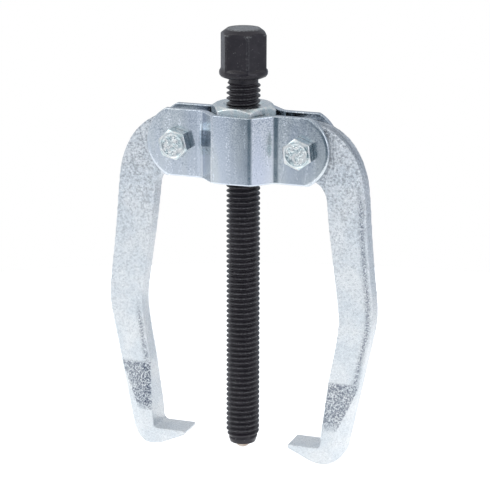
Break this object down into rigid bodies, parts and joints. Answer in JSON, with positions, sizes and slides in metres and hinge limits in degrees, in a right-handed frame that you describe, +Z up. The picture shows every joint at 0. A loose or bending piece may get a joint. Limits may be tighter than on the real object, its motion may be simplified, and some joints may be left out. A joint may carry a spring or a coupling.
{
  "type": "gear puller",
  "caption": "Small hook-arm gear puller: two bent plates clamp a hex nut, a threaded spindle runs through it and hook arms swing on bolts between the plates.",
  "frame": {"origin": "middle of the bridge: on the spindle axis, level with the two pivot bolts", "axes": "+Z up along the spindle towards its drive head, +X towards the right arm, -Y towards the bolt heads"},
  "size_m": [0.0807, 0.021, 0.1257],
  "materials": {
    "zinc_plate": "satin zinc plating on bent steel strip",
    "zinc_forging": "zinc plating on a grainy drop forging",
    "bright_zinc": "bright zinc plating on turned steel",
    "black_oxide": "semi-gloss black oxide on steel",
    "bearing_steel": "ground hardened steel"
  },
  "bodies": {
    "bridge": {"front_plate": "zinc_plate", "back_plate": "zinc_plate", "bridge_nut": "bright_zinc", "left_pivot_bolt": "bright_zinc", "right_pivot_bolt": "bright_zinc", "left_lock_nut": "bright_zinc", "right_lock_nut": "bright_zinc"},
    "tip": {"tip_ball": "bearing_steel"},
    "spindle": {"spindle": "black_oxide"},
    "left_arm": {"left_arm": "zinc_forging"},
    "right_arm": {"right_arm": "zinc_forging"}
  },
  "joints": [
    {"name": "spindle_feed", "type": "slide", "parent": "bridge", "child": "tip", "axis": [0, 0, 1], "range_m": [-0.0065, 0.069]},
    {"name": "spindle_turn", "type": "hinge", "parent": "tip", "child": "spindle", "pos_m": [0, 0, 0], "axis": [0, 0, 1], "range_deg": [-1561, 16561]},
    {"name": "left_arm_swing", "type": "hinge", "parent": "bridge", "child": "left_arm", "pos_m": [-0.01855, 0, 0], "axis": [0, 1, 0], "range_deg": [-7, 90]},
    {"name": "right_arm_swing", "type": "hinge", "parent": "bridge", "child": "right_arm", "pos_m": [0.01855, 0, 0], "axis": [0, -1, 0], "range_deg": [-6.2, 90]}
  ],
  "couplings": [
    {"joint": "spindle_turn", "follows": "spindle_feed", "rad_per_m": 4188.8}
  ]
}
